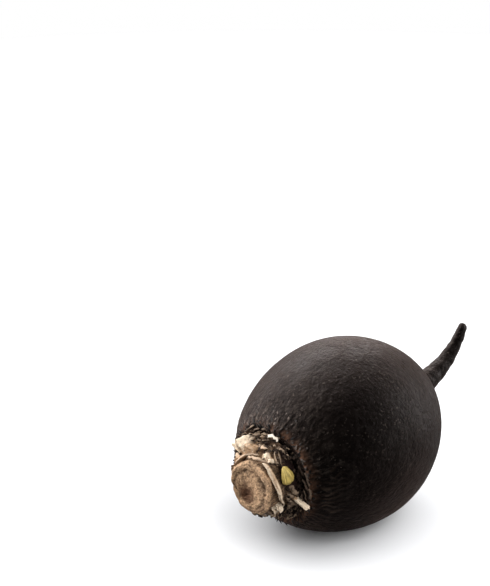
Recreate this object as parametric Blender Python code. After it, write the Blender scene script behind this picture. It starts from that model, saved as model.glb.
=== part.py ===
"""A round black radish, pulled, trimmed and lying on its side.

The root is one grown piece: a globe that runs out into a bent tail. Its leaf end is drawn in to a shallow
hollow, where the cut crown stands with the stumps of its leaf stalks, and beside it a small green bud.

The origin is the middle of the flat spot that the root rests on. +Z is up, and +X runs level from the leaf
end to the tail end. Lengths are in metres and angles in radians.
"""

import math

import bmesh
import bpy
import numpy as np

MM = 0.001

# The globe. Lengths along its axis count from its widest ring, with the leaf end on the minus side.
GLOBE_RADIUS = 41.7 * MM
SHOULDER_REACH = 56.5 * MM  # where the leaf end's curve would close
SHOULDER_POINT = 1.38  # 1 is an ellipse, more is more pointed
TAPER_REACH = 51.3 * MM  # where the tail end's curve would close
TAPER_POINT = 1.29
LUMP_DEPTH = 0.5 * MM

# How it lies.
LEAN = math.radians(6)  # the tail end is the higher one
CENTRE_AHEAD = 0.7 * MM  # the widest ring's centre, along +X from the middle of the flat spot
CENTRE_HEIGHT = 40.9 * MM

# The tail: it turns upward more and more, from the globe's axis to its tip.
TAIL_START = 45 * MM
TAIL_LENGTH = 47.7 * MM
TAIL_TURN = math.radians(62.8)
TURN_POWER = 1.55
TAIL_THICK = 6.0 * MM
TAIL_TIP = 1.85 * MM
TAPER_POWER = 1.05
ROOT_BLEND = 3.0  # a low figure blends tail and globe in a wide curve

# The hollow at the leaf end: a rounded rim, then a slope down to the flat seat of the crown.
RIM_START = -42.6 * MM
RIM_ROUND = 2.0 * MM
RIM_INSIDE = math.radians(150)
RIM_WAVE = 0.5 * MM
SEAT = -41.5 * MM
SEAT_RADIUS = 17.6 * MM

# The crown, as (length along the axis, radius): side, cut edge, then the rings of the cut face.
CLEARANCE = 0.3 * MM
CROWN_SIDE = [(-42.8, 18.0), (-43.8, 18.4), (-44.4, 17.2), (-45.0, 15.2), (-45.8, 15.0), (-46.6, 13.6),
              (-47.6, 12.6), (-48.4, 12.9), (-49.6, 11.9), (-51.5, 11.3), (-53.6, 11.1), (-55.2, 11.4)]
CUT_FACE = [(-56.3, 11.3), (-56.9, 10.4), (-56.8, 9.2), (-56.3, 8.3), (-56.9, 7.2), (-57.2, 6.0),
            (-56.8, 4.6), (-56.3, 3.4), (-55.3, 2.2), (-54.8, 1.0)]
COLLAR_SHIFT = 0.07  # the collar round the crown's foot is wider above than below
BUD_NEST = 0.2  # and it is drawn in where the bud stands
CUT_TILT = math.radians(5.7)  # the knife went through aslant
CUT_FACES = math.radians(25)
CUT_BLEND = (-50 * MM, -54 * MM)

# The stumps of the leaf stalks. Each next one grew a golden angle further round.
FIRST_STALK = math.radians(-30)
GOLDEN_ANGLE = math.radians(137.5)
STALK_FOOT = 10.5 * MM  # radius where a stalk's line starts, well inside the crown
# Width round the crown, thickness, length of foot and of end along the axis, radius of the end, slope of the cut.
STALKS = [
    (12.0, 4.2, -45.0, -51.0, 18.4, 0.10),
    (3.2, 2.6, -45.9, -45.4, 23.4, 0.00),
    (12.0, 3.2, -45.0, -49.2, 17.6, -0.15),
    (8.0, 3.4, -45.6, -52.0, 15.2, 0.20),
    (9.0, 3.0, -45.0, -50.8, 15.2, 0.10),
    (8.5, 3.0, -45.4, -51.2, 15.0, -0.20),
    (19.0, 1.7, -46.0, -53.6, 13.6, 0.05),
    (11.0, 3.0, -45.8, -51.4, 15.2, 0.15),
    (6.5, 3.6, -46.4, -52.8, 14.6, -0.25),
    (5.0, 3.4, -46.4, -51.6, 14.6, 0.20),
]

# The green bud, on a short stalk between crown and rim, as (length along the axis, share of its full size).
BUD_ANGLE = math.radians(63.5)
BUD_OUT = 16.7 * MM
BUD_HALF_THICK = 1.9 * MM
BUD_HALF_WIDTH = 3.9 * MM
BUD_SHAPE = [(-42.6, 0.36), (-44.2, 0.34), (-45.4, 0.50), (-46.6, 0.78), (-47.8, 0.96), (-49.0, 1.00),
             (-50.2, 0.86), (-51.2, 0.58), (-51.8, 0.26)]
BUD_ENDS = (-42.3, -52.0)

# Mesh steps.
ROUND_ROOT = 52
ROUND_CROWN = 40
ROUND_STALK = 12
ROUND_BUD = 14
GLOBE_RINGS = 24
TAIL_RINGS = 13
RIM_RINGS = 5
STALK_RINGS = 4


def centreline(along):
    """Centre point and slope of the root's middle line at each length along it."""
    fine = np.linspace(-60 * MM, TAIL_START + TAIL_LENGTH, 3000)
    turned = np.clip((fine - TAIL_START) / TAIL_LENGTH, 0, 1) ** TURN_POWER
    slope = LEAN + TAIL_TURN * turned
    step = fine[1] - fine[0]
    x = np.cumsum(np.cos(slope)) * step
    z = np.cumsum(np.sin(slope)) * step
    x += CENTRE_AHEAD - np.interp(0, fine, x)
    z += CENTRE_HEIGHT - np.interp(0, fine, z)
    return np.interp(along, fine, x), np.interp(along, fine, z), np.interp(along, fine, slope)


def place(along, radius, angle):
    """Points at these lengths and radii, and these angles round the axis: 0 is up, and a quarter turn is -Y."""
    x, z, slope = centreline(along)
    up = radius * np.cos(angle)
    return np.stack(
        np.broadcast_arrays(x - up * np.sin(slope), -radius * np.sin(angle), z + up * np.cos(slope)), axis=-1
    )


def globe_radius(along):
    reach = np.where(along < 0, SHOULDER_REACH, TAPER_REACH)
    point = np.where(along < 0, SHOULDER_POINT, TAPER_POINT)
    return GLOBE_RADIUS * np.clip(1 - (along / reach) ** 2, 0, 1) ** (point / 2)


def tail_radius(along):
    """The tail thins almost evenly and ends in a rounded tip."""
    end = TAIL_START + TAIL_LENGTH
    left = np.clip((end - along) / (end - TAPER_REACH), 0, 1)
    radius = TAIL_TIP + (TAIL_THICK - TAIL_TIP) * left**TAPER_POWER
    past = np.clip((along - (end - TAIL_TIP)) / TAIL_TIP, 0, 1)
    return radius * np.sqrt(1 - past**2)


def root_radius(along):
    tail = np.where(along > 0, tail_radius(along), 0)
    return (globe_radius(along) ** ROOT_BLEND + tail**ROOT_BLEND) ** (1 / ROOT_BLEND)


def lumps(along, angle):
    """Slow swellings that keep the globe from being turned-looking, none at the rim or on the tail."""
    fade = np.clip(1 - (along / TAIL_START) ** 2, 0, 1)
    wave = np.sin(2 * angle + 0.9 + 40 * along) + 0.6 * np.sin(3 * angle - 1.2 + 25 * along)
    return LUMP_DEPTH * fade * wave


def rim_wave(along, angle):
    """How far the skin near the rim is drawn toward the leaf end: more here, less there, none on the globe."""
    fade = np.clip((along + 30 * MM) / (RIM_START + 30 * MM), 0, 1) ** 2
    return -RIM_WAVE * fade * (np.sin(3 * angle + 2.2) + 0.5 * np.sin(7 * angle + 0.5))


def rim_outline():
    """The rounded rim as (length, radius), from the inside out, ending square on the globe's own curve."""
    step = 0.01 * MM
    start = globe_radius(np.array([RIM_START, RIM_START + step]))
    outside = math.atan((start[1] - start[0]) / step)
    middle_along = RIM_START + RIM_ROUND * math.sin(outside)
    middle_radius = start[0] - RIM_ROUND * math.cos(outside)
    turn = np.linspace(RIM_INSIDE, outside, RIM_RINGS, endpoint=False)
    return middle_along - RIM_ROUND * np.sin(turn), middle_radius + RIM_ROUND * np.cos(turn)


def closed_mesh(name, rings, poles=None):
    """A closed mesh through these rings of points. Its ends are fans round two poles, or else strips across."""
    bm = bmesh.new()
    loops = [[bm.verts.new(point) for point in ring] for ring in rings]
    count = len(loops[0])
    for ring, following in zip(loops, loops[1:]):
        for i in range(count):
            k = (i + 1) % count
            bm.faces.new((ring[i], ring[k], following[k], following[i]))
    for end, loop in enumerate((loops[0], loops[-1])):
        if poles:
            tip = bm.verts.new(poles[end])
            for i in range(count):
                bm.faces.new((tip, loop[i], loop[(i + 1) % count]))
        else:
            for i in range(count // 2):
                corners = (loop[i], loop[i + 1], loop[-i - 1], loop[-i])
                bm.faces.new(dict.fromkeys(corners))
    bmesh.ops.recalc_face_normals(bm, faces=bm.faces)
    mesh = bpy.data.meshes.new(name)
    bm.to_mesh(mesh)
    bm.free()
    return mesh


def add(name, mesh, material, crease=40):
    mesh.shade_smooth()
    mesh.set_sharp_from_angle(angle=math.radians(crease))
    mesh.materials.append(material)
    obj = bpy.data.objects.new(name, mesh)
    bpy.context.scene.collection.objects.link(obj)
    return obj


def material(name, colour, roughness):
    made = bpy.data.materials.new(name)
    made.use_nodes = True
    shader = made.node_tree.nodes["Principled BSDF"]
    shader.inputs["Base Color"].default_value = (*colour, 1)
    shader.inputs["Roughness"].default_value = roughness
    return made


def flatten_underside(mesh):
    """Cuts the root level at the floor, which leaves the small flat spot that it rests on."""
    bm = bmesh.new()
    bm.from_mesh(mesh)
    every = bm.verts[:] + bm.edges[:] + bm.faces[:]
    cut = bmesh.ops.bisect_plane(
        bm, geom=every, dist=0.001 * MM, plane_co=(0, 0, 0), plane_no=(0, 0, -1), clear_outer=True
    )
    edges = [e for e in cut["geom_cut"] if isinstance(e, bmesh.types.BMEdge)]
    spot = bmesh.ops.contextual_create(bm, geom=edges)["faces"]
    bmesh.ops.poke(bm, faces=spot)
    bmesh.ops.recalc_face_normals(bm, faces=bm.faces)
    bm.to_mesh(mesh)
    bm.free()


def make_root(skin):
    angle = np.linspace(0, 2 * math.pi, ROUND_ROOT, endpoint=False)
    rim_along, rim_radius = rim_outline()
    around_globe = np.linspace(math.asin(RIM_START / TAPER_REACH), math.radians(86), GLOBE_RINGS)
    tail = np.linspace(TAPER_REACH + 1 * MM, TAIL_START + TAIL_LENGTH - TAIL_TIP, TAIL_RINGS)
    tip = TAIL_START + TAIL_LENGTH - TAIL_TIP * np.array([0.5, 0.15])
    along = np.concatenate([TAPER_REACH * np.sin(around_globe), tail, tip])
    rings = [place(SEAT, SEAT_RADIUS, angle)]
    rings += [place(s + rim_wave(s, angle), r, angle) for s, r in zip(rim_along, rim_radius)]
    rings += [place(s + rim_wave(s, angle), root_radius(s) + lumps(s, angle), angle) for s in along]
    tail_end = place(TAIL_START + TAIL_LENGTH, 0, 0)
    mesh = closed_mesh("root", rings, [place(SEAT, 0, 0), tail_end])
    flatten_underside(mesh)
    return add("root", mesh, skin)


def crown_point(along, radius, angle):
    """A point of the crown, with the part near its end sheared to the slant of the knife's cut."""
    start, full = CUT_BLEND
    blend = np.clip((along - start) / (full - start), 0, 1)
    slant = blend * radius * np.cos(angle - CUT_FACES) * math.tan(CUT_TILT)
    wide = np.clip((radius - 12 * MM) / (6 * MM), 0, 1)
    nest = np.exp(5 * (np.cos(angle - BUD_ANGLE) - 1))
    uneven = 0.015 * np.sin(3 * angle + 0.4) + 0.015 * np.sin(5 * angle + 2)
    uneven = uneven + wide * (COLLAR_SHIFT * np.cos(angle + 1) - BUD_NEST * nest)
    return place(along + slant, radius * (1 + uneven), angle)


def stalk_mesh(number, width, thick, foot, end, end_radius, cut_slope):
    """One leaf stalk's stump: a flat oval bent round the crown, along a line that leaves it and turns outward."""
    middle = FIRST_STALK + number * GOLDEN_ANGLE
    start = np.array([foot * MM, STALK_FOOT])
    finish = np.array([end, end_radius]) * MM
    knee = start + (finish - start) * (0.25, 0.65)
    round_it = np.linspace(0, 2 * math.pi, ROUND_STALK, endpoint=False)
    rings = []
    for q in np.linspace(0, 1, STALK_RINGS):
        line = (1 - q) ** 2 * start + 2 * q * (1 - q) * knee + q**2 * finish
        heading = (1 - q) * (knee - start) + q * (finish - knee)
        heading /= np.linalg.norm(heading)
        across = 0.5 * width * MM * (1.15 - 0.2 * q) * np.cos(round_it)
        through = 0.5 * thick * MM * np.sin(round_it)
        along = line[0] + through * heading[1] + across * cut_slope * q
        radius = line[1] - through * heading[0]
        rings.append(place(along, radius, middle + across / end_radius / MM))
    return closed_mesh(f"stalk_{number}", rings)


def make_crown(cork):
    angle = np.linspace(0, 2 * math.pi, ROUND_CROWN, endpoint=False)
    base = SEAT - CLEARANCE
    outline = [(base / MM, 16.0), *CROWN_SIDE, *CUT_FACE]
    rings = [crown_point(s * MM, r * MM, angle) for s, r in outline]
    poles = [place(base, 0, 0), place(outline[-1][0] * MM, 0, 0)]
    crown = add("crown", closed_mesh("crown", rings, poles), cork)
    bunch = bpy.data.collections.new("stalks")
    bpy.context.scene.collection.children.link(bunch)
    for number, sizes in enumerate(STALKS):
        mesh = stalk_mesh(number, *sizes)
        bunch.objects.link(bpy.data.objects.new(mesh.name, mesh))
    join = crown.modifiers.new("stalks", "BOOLEAN")
    join.operation = "UNION"
    join.operand_type = "COLLECTION"
    join.collection = bunch
    join.solver = "EXACT"
    with bpy.context.temp_override(object=crown, active_object=crown):
        bpy.ops.object.modifier_apply(modifier=join.name)
    for stalk in list(bunch.objects):
        bpy.data.objects.remove(stalk)
    bpy.data.collections.remove(bunch)
    return crown


def make_bud(green):
    """A plump bud on its stalk, bent round the crown, with its tip pointing out."""
    angle = np.linspace(0, 2 * math.pi, ROUND_BUD, endpoint=False)
    rings = []
    for along, size in BUD_SHAPE:
        radius = BUD_OUT + BUD_HALF_THICK * size * np.sin(angle)
        rings.append(place(along * MM, radius, BUD_ANGLE + BUD_HALF_WIDTH * size * np.cos(angle) / BUD_OUT))
    ends = [place(along * MM, BUD_OUT, BUD_ANGLE) for along in BUD_ENDS]
    return add("green_bud", closed_mesh("green_bud", rings, ends), green, crease=60)


def main():
    for obj in list(bpy.data.objects):
        bpy.data.objects.remove(obj)
    make_root(material("black_skin", (0.022, 0.018, 0.016), 0.5))
    make_crown(material("cut_crown", (0.30, 0.20, 0.12), 0.8))
    make_bud(material("green_bud", (0.52, 0.45, 0.12), 0.5))


main()
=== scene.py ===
"""The looks of a round black radish on its side: skin, cut crown, leaf stumps, dry scales and bud.

Every surface is a formula of two parameters, worked out as whole arrays. Points of the root are given by a
length along its axis (from the widest ring, the leaf end on the minus side), a distance from the axis and an
angle round it (0 is up, a quarter turn is -Y). Lengths are in metres and angles in radians.
"""

import math

import bpy
import numpy as np
from bpy.props import FloatProperty, FloatVectorProperty, IntProperty, PointerProperty
from mathutils import Matrix, Vector


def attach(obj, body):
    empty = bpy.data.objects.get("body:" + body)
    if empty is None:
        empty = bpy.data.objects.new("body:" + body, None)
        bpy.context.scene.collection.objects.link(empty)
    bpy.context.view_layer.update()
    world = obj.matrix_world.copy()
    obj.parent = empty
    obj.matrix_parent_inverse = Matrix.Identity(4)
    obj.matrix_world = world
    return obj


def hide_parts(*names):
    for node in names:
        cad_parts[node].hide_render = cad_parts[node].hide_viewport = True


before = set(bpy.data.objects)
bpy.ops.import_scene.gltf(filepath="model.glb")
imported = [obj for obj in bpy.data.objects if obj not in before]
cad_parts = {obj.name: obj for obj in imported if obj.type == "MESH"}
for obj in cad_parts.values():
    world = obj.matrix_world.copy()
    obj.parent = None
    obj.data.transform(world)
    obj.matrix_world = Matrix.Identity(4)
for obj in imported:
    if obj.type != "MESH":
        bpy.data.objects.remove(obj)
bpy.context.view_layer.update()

bl_info = {
    "name": "Black radish",
    "version": (1, 0, 0),
    "blender": (4, 5, 0),
    "location": "View3D > Sidebar > Radish",
    "description": "Builds a round black radish with its cut crown, leaf stumps, dry scales and bud",
    "category": "Add Mesh",
}

MM = 0.001

# Rings along each grid and points round it. The cut face and a stump's cut end have rings of their own.
SKIN_RINGS, SKIN_ROUND = 236, 416
NECK_RINGS, FACE_RINGS, NECK_ROUND = 110, 64, 240
STUMP_RINGS, END_RINGS, STUMP_ROUND = 26, 9, 44
BUD_RINGS, BUD_ROUND = 60, 72
SHRED_RINGS, SHRED_ROUND = 9, 8
FLECK_RINGS, FLECK_ROUND = 5, 6
FLECK_SEED, SHRED_SEED = 71, 83

# The rim of the hollow at the leaf end, and the crown's seat in it.
RIM_START = -42.6 * MM
RIM_ROUND = 2.0 * MM
RIM_INSIDE = math.radians(150)
RIM_WAVE = 0.5 * MM
CHIP_DEPTH = 0.45 * MM
SEAT = -41.5 * MM
SEAT_RADIUS = 17.6 * MM

# The tail's taper, and how wide a curve joins it to the globe.
TURN_POWER = 1.55
TAPER_POWER = 1.05
ROOT_BLEND = 3.0

WRINKLES = 66  # how many there are all round
WRINKLED = math.radians(105)  # where the skin outside the rim is most wrinkled

# The crown's outline as (length along the axis, radius) in millimetres, from its foot to the knife's cut.
CROWN_FOOT = -41.8
CROWN_SIDE = [(-42.8, 18.0), (-43.8, 18.4), (-44.4, 17.2), (-45.0, 15.2), (-45.8, 15.0), (-46.6, 13.6),
              (-47.6, 12.6), (-48.4, 12.9), (-49.6, 11.9), (-51.5, 11.3), (-53.6, 11.1), (-55.2, 11.4)]
CUT_EDGE = [(-56.3, 11.3), (-56.9, 10.4)]
COLLAR_SHIFT = 0.07  # share of its radius by which the collar stands out to one side
BUD_NEST = 0.2  # share of its radius by which the collar is drawn in at the bud
CUT_FACES = math.radians(25)  # the side where the cut slants toward the root
CUT_BLEND = (-50 * MM, -54 * MM)  # from here to here its slant comes in
BUTT_SAG = 0.13  # how much further the butt reaches on its lower side
SHRUNK = 0.3 * MM  # how far the neck's skin lies inside its outline
PITH_OFF = 7.8 * MM  # the growth rings lie off the middle of the cut
PITH_TOWARD = math.radians(-143)
RINGS_SEEN = 5.3  # growth rings from the middle to the edge
HIGHLIGHT_TOWARD = math.radians(95)  # the side of the pith where the cut face gets a painted highlight
BESIDE_RIDGE = math.radians(62)  # where the neck gets painted shade beside its ridge
GROOVE = math.radians(75)  # where the gap between neck and rim is deepest; painted shade on the neck and the shreds gathers toward it

# The leaf stumps: each next one grew a golden angle further round.
FIRST_STALK = math.radians(-30)
GOLDEN_ANGLE = math.radians(137.5)
# Width round the crown, thickness, length along the axis and radius of the foot, the same of the end
# (millimetres), degrees turned aside, slope of the cut, how much further out the far edge stands and how much
# further back it ends (millimetres), how pale, and how much of the stump is pale.
STALKS = [
    (6.4, 4.0, -42.6, 16.8, -52.6, 16.9, -8, 0.10, 0.0, 0.0, 1.25, 0.97),
    (2.7, 2.1, -45.9, 10.5, -45.8, 23.0, 1, 0.00, 0.0, 0.0, 1.5, 0.66),
    (10.0, 2.6, -45.0, 10.5, -48.6, 17.2, 0, -0.15, 0.0, 0.0, 0.30, 0.36),
    (6.6, 2.4, -46.4, 11.0, -50.6, 13.4, -3, 0.20, 0.0, 0.0, 0.95, 0.35),
    (8.0, 2.6, -45.0, 10.5, -50.2, 14.8, 0, 0.10, 0.0, 0.0, 0.26, 0.20),
    (9.0, 1.6, -45.4, 10.5, -54.2, 12.9, 0, -0.10, 0.0, 0.0, 0.34, 0.40),
    (25.0, 1.4, -46.0, 10.5, -54.2, 12.9, -1, 0.00, 2.2, 4.0, 0.80, 0.15),
    (10.0, 2.6, -45.8, 10.5, -50.8, 14.8, 0, 0.15, 0.0, 0.0, 0.30, 0.30),
    (6.8, 3.4, -44.8, 13.4, -51.6, 14.0, -13, -0.15, 0.0, 0.0, 0.46, 0.9),
    (5.0, 3.2, -46.4, 10.5, -51.7, 13.3, 9, 0.20, 0.0, 0.0, 1.2, 0.80),
]

# Single dry shreds: length along the axis and radius (millimetres) and angle (degrees) of the start, the same
# of the end, then width, thickness and arch in millimetres, and how pale.
SHREDS = [
    (-45.0, 19.8, 2, -44.8, 20.2, 19, 2.2, 1.1, 0.7, 2.4),
    (-47.6, 14.4, -11, -47.4, 15.2, 9, 1.9, 0.9, 0.5, 0.95),
    (-45.2, 17.0, 23, -45.0, 18.3, 33, 1.2, 0.5, 0.4, 0.55),
    (-48.3, 12.4, 27, -47.8, 13.8, 44, 2.0, 0.9, 0.3, 0.62),
    (-46.4, 15.4, 20, -48.6, 13.0, 41, 0.8, 0.5, 0.8, 0.70),
    (-46.0, 16.4, 26, -47.6, 14.2, 46, 0.7, 0.4, 0.7, 0.45),
    (-54.4, 12.4, -58, -53.0, 13.2, -22, 1.8, 0.7, 0.5, 0.80),
    (-53.4, 12.6, -40, -52.2, 13.2, -8, 1.3, 0.6, 0.5, 0.55),
    (-54.0, 12.3, -16, -52.4, 13.0, 16, 1.6, 0.7, 0.4, 0.85),
    (-51.8, 12.8, -24, -51.0, 13.2, 4, 1.4, 0.7, 0.4, 0.62),
    (-53.0, 12.4, 6, -51.0, 12.9, 30, 1.2, 0.6, 0.5, 0.60),
    (-44.4, 18.3, -28, -44.2, 19.0, -14, 1.5, 0.5, 0.4, 0.62),
    (-44.4, 18.6, -13, -44.2, 19.2, -1, 1.3, 0.5, 0.5, 0.60),
    (-44.9, 21.2, -40, -44.7, 21.7, -27, 1.5, 0.5, 0.2, 0.22),
    (-44.9, 20.6, -23, -44.8, 21.4, -12, 1.3, 0.5, 0.3, 0.26),
    (-44.8, 22.0, -27, -44.6, 22.6, -20, 2.2, 0.5, 0.2, 0.40),
    (-44.9, 21.5, -8, -44.8, 21.8, -1, 1.1, 0.5, 0.3, 0.26),
    (-45.0, 20.0, -52, -44.8, 20.8, -43, 1.3, 0.5, 0.4, 0.26),
    (-44.9, 22.1, -64, -44.8, 22.0, -53, 1.2, 0.5, 0.3, 0.22),
    (-44.6, 22.4, 66, -44.4, 22.6, 84, 1.0, 0.5, 0.3, 0.20),
    (-44.5, 22.6, 85, -44.3, 22.6, 99, 1.0, 0.5, 0.4, 0.26),
    (-43.6, 18.6, 58, -43.4, 19.2, 74, 0.9, 0.5, 0.4, 0.16),
    (-45.2, 20.2, 74, -44.4, 21.6, 92, 0.9, 0.5, 0.4, 0.20),
    (-45.0, 19.6, 88, -44.6, 21.0, 104, 0.8, 0.5, 0.4, 0.26),
    (-45.4, 18.4, 96, -44.8, 19.8, 112, 1.0, 0.6, 0.5, 0.18),
    (-47.0, 13.2, 92, -45.4, 16.8, 99, 2.2, 0.9, 0.4, 0.46),
    (-47.6, 13.6, 84, -46.4, 16.0, 92, 1.6, 0.8, 0.4, 0.40),
    (-48.6, 13.6, 98, -47.0, 15.6, 104, 1.6, 0.8, 0.5, 0.44),
    (-47.8, 14.4, 122, -46.6, 16.4, 126, 1.8, 0.8, 0.4, 0.36),
    (-47.4, 13.0, 103, -45.4, 17.2, 108, 1.6, 0.8, 0.3, 0.30),
    (-47.0, 13.4, 116, -45.2, 17.6, 121, 2.2, 0.8, 0.4, 0.36),
    (-48.2, 13.2, 110, -46.8, 15.4, 116, 1.0, 0.6, 0.5, 0.60),
    (-55.8, 11.8, 196, -54.6, 14.0, 191, 2.6, 1.3, 0.3, 0.24),
    (-55.8, 12.2, 184, -54.2, 15.0, 181, 2.6, 1.4, 0.4, 0.40),
    (-55.6, 12.2, 172, -54.0, 15.2, 169, 2.8, 1.4, 0.3, 0.20),
    (-55.4, 12.0, 160, -53.6, 14.8, 159, 2.6, 1.4, 0.4, 0.38),
    (-54.8, 12.0, 148, -52.6, 14.6, 150, 2.4, 1.2, 0.3, 0.28),
    (-55.4, 11.2, 208, -54.2, 12.8, 203, 1.8, 1.0, 0.2, 0.30),
    (-53.0, 11.8, 176, -50.4, 14.6, 172, 2.0, 0.9, 0.4, 0.22),
    (-50.6, 16.0, -57, -51.9, 12.4, -52, 2.6, 0.9, 0.2, 0.95),
    (-49.4, 16.0, -65, -50.6, 12.8, -63, 2.2, 0.9, 0.3, 0.65),
]

BUD_ANGLE = math.radians(63.5)
# The bud's foot and its tip, each as length along the axis, radius (millimetres) and angle (degrees).
BUD_FOOT = (-48.4, 14.2, 79)
BUD_TIP = (-49.0, 17.0, 49)
# Share of its length, share of its full size.
BUD_SHAPE = [(0.0, 0.35), (0.06, 0.62), (0.16, 0.88), (0.30, 1.0), (0.45, 1.0), (0.60, 0.90), (0.75, 0.72),
             (0.88, 0.50), (0.96, 0.30), (1.0, 0.06)]
BUD_HALF_THICK = 2.3 * MM
BUD_HALF_WIDTH = 2.75 * MM
BUD_BOW = 0.9 * MM

# Colours that go with the settings' own: a pair is the darkest and the palest.
CREST_COLOUR = (0.105, 0.074, 0.055)
RIM_COLOUR = (0.19, 0.095, 0.056)
# Painted shade on the neck: at its foot toward the groove, and beside the ridge.
NECK_SHADE_COLOUR = (0.022, 0.009, 0.007)
BUD_FOOT_COLOUR = (0.10, 0.06, 0.03)
BLEACHED_COLOUR = (0.95, 0.84, 0.70)
FLECK_COLOURS = (0.006, 0.0045, 0.004), (0.19, 0.145, 0.12)
SHRED_COLOURS = (0.022, 0.011, 0.006), (0.62, 0.45, 0.31)

# Each soft light: degrees round from the camera's side, degrees up, width and height in metres, what it
# falls on.
LIGHTS = {
    "left_light": (-95, 14, 1.5, 0.9, "radish"),
    "back_left_light": (-125, 35, 0.9, 0.9, "skin"),
    "back_light": (180, 38, 0.9, 1.3, "radish"),
    "right_light": (110, 8, 0.9, 0.9, "radish"),
    "side_light": (80, 20, 0.9, 0.9, "radish"),
    "crown_light": (30, 35, 0.9, 0.9, "crown"),
    "crown_back_light": (-125, 35, 0.9, 0.9, "crown"),
    "floor_left_light": (-125, 35, 0.9, 0.9, "floor"),
    "floor_right_light": (110, 34, 0.9, 1.1, "floor"),
    "floor_front_light": (30, 35, 0.9, 0.9, "floor"),
    "floor_top_light": (0, 90, 2.6, 2.6, "floor"),
}
LIGHT_DISTANCE = 1.2
FRAME_PIXELS = (490, 586)  # width and height of the photograph's frame
SENSOR = 36.0  # millimetres of the camera's sensor along the frame's longer side, its height
FLOOR_HEIGHT, FLOOR_THICK, FLOOR_REACH = -0.05 * MM, 20 * MM, 1.0
FLOOR_FADE = (0.35, 0.75)  # from here to here it fades into the white ground
BOUNCE = 0.15  # share of the floor's colour in the light that it sends back up


def a_number(name, description, default):
    """A setting that is a plain number."""
    return FloatProperty(name=name, description=description, default=default)


def a_length(name, description, millimetres):
    """A setting that is a length."""
    return FloatProperty(name=name, description=description, default=millimetres * MM, unit="LENGTH")


def an_angle(name, description, degrees):
    """A setting that is an angle."""
    return FloatProperty(name=name, description=description, default=math.radians(degrees), subtype="ANGLE")


def a_colour(name, description, *default):
    """A setting that is a colour."""
    return FloatVectorProperty(name=name, description=description, default=default, subtype="COLOR")


def a_power(name, group, watts):
    """A setting that is the power of a light on a group of objects."""
    return FloatProperty(name=name, description=f"Power, on the {group}", default=watts, unit="POWER")


class RootSettings(bpy.types.PropertyGroup):
    """Sizes and colours of the root."""

    globe_radius: a_length("Globe radius", "Half the width of the globe", 41.7)
    shoulder_reach: a_length("Shoulder reach", "From the widest ring to where the leaf end would close", 56.5)
    shoulder_point: a_number("Shoulder point", "1 is an ellipse, more is more pointed", 1.38)
    taper_reach: a_length("Taper reach", "From the widest ring to where the tail end would close", 51.3)
    taper_point: a_number("Taper point", "1 is an ellipse, more is more pointed", 1.29)
    lump_depth: a_length("Lump depth", "Height of the globe's slow swellings", 0.5)
    wrinkle_depth: a_length("Wrinkle depth", "Depth of the wrinkles round the crown", 0.30)
    lean: an_angle("Lean", "How far the tail end is raised", 6)
    centre_ahead: a_length("Centre ahead", "The widest ring's centre, along +X from the resting spot", 0.7)
    centre_height: a_length("Centre height", "The widest ring's centre above the floor", 40.9)
    tail_start: a_length("Tail start", "Where the axis begins to turn up", 45)
    tail_length: a_length("Tail length", "From the start of its turn to its tip", 47.7)
    tail_turn: an_angle("Tail turn", "How far the tail turns up", 62.8)
    tail_thick: a_length("Tail thickness", "Radius at the tail's base", 6.0)
    tail_tip: a_length("Tail tip", "Radius at the tail's tip", 1.85)
    skin_colour: a_colour("Skin", "Black of the skin", 0.0014, 0.0012, 0.0011)
    brown_colour: a_colour("Brown", "Brown that shows in patches", 0.0062, 0.0045, 0.0037)
    speck_colour: a_colour("Specks", "Dry, pale specks and flecks", 0.16, 0.13, 0.11)
    fleck_count: IntProperty(name="Flecks", description="Raised flecks on the shoulder", default=620, min=1)


class CrownSettings(bpy.types.PropertyGroup):
    """Sizes and colours of the crown, its stumps, its scales and its bud."""

    cut_tilt: an_angle("Cut tilt", "How aslant the knife went through", 5.7)
    shred_count: IntProperty(name="Shreds", description="Dry shreds of old leaf feet", default=620, min=1)
    cork_colour: a_colour("Cork", "Tan of the cut face and the neck", 0.385, 0.246, 0.145)
    pith_colour: a_colour("Pith", "Dark brown of the pith and the cracks", 0.052, 0.026, 0.014)
    flesh_colour: a_colour("Flesh", "Cream of the stumps where they were cut", 0.98, 0.80, 0.60)
    bud_colour: a_colour("Bud", "Yellow-green of the bud", 0.52, 0.38, 0.085)


class StudioSettings(bpy.types.PropertyGroup):
    """The camera, the floor and the lights."""

    azimuth: an_angle("Azimuth", "Camera's side; 0 looks along +Y", -45)
    elevation: an_angle("Elevation", "Camera's tilt above the horizon", 21)
    distance: a_length("Distance", "Camera's distance in front of the globe", 750)
    focal_pixels: a_number("Focal length", "In pixels of the photograph's frame", 1717.5)
    globe_pixel: FloatVectorProperty(
        name="Globe's place",
        description="Pixel where the globe's centre shows",
        size=2,
        default=(341.4, 432.6),
    )
    left_light: a_power("Left light", "radish", 25.0)
    back_left_light: a_power("Back left light", "skin", 22.0)
    back_light: a_power("Back light", "radish", 16.5)
    right_light: a_power("Right light", "radish", 19.0)
    side_light: a_power("Side light", "radish", 2.0)
    crown_light: a_power("Crown light", "crown", 12.0)
    crown_back_light: a_power("Crown's back light", "crown", 13.0)
    floor_left_light: a_power("Floor's left light", "floor", 5.4)
    floor_right_light: a_power("Floor's right light", "floor", 4.8)
    floor_front_light: a_power("Floor's front light", "floor", 8.6)
    floor_top_light: a_power("Floor's top light", "floor", 41.0)
    floor_colour: a_colour("Floor", "Pale floor", 0.90, 0.905, 0.92)


# Shared formulas


def ramp(value, start, end):
    """0 up to the start, 1 from the end on, and even between them."""
    return np.clip((value - start) / (end - start), 0, 1)


def bell(value, width):
    """exp(-(value / width)^2), which is 1 in the middle and fades to both sides."""
    return np.exp(-((value / width) ** 2))


def facing(angle, middle, sharpness):
    """exp(sharpness * (cos(angle - middle) - 1)), which is 1 at the middle angle and fades away from it."""
    return np.exp(sharpness * (np.cos(angle - middle) - 1))


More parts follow.
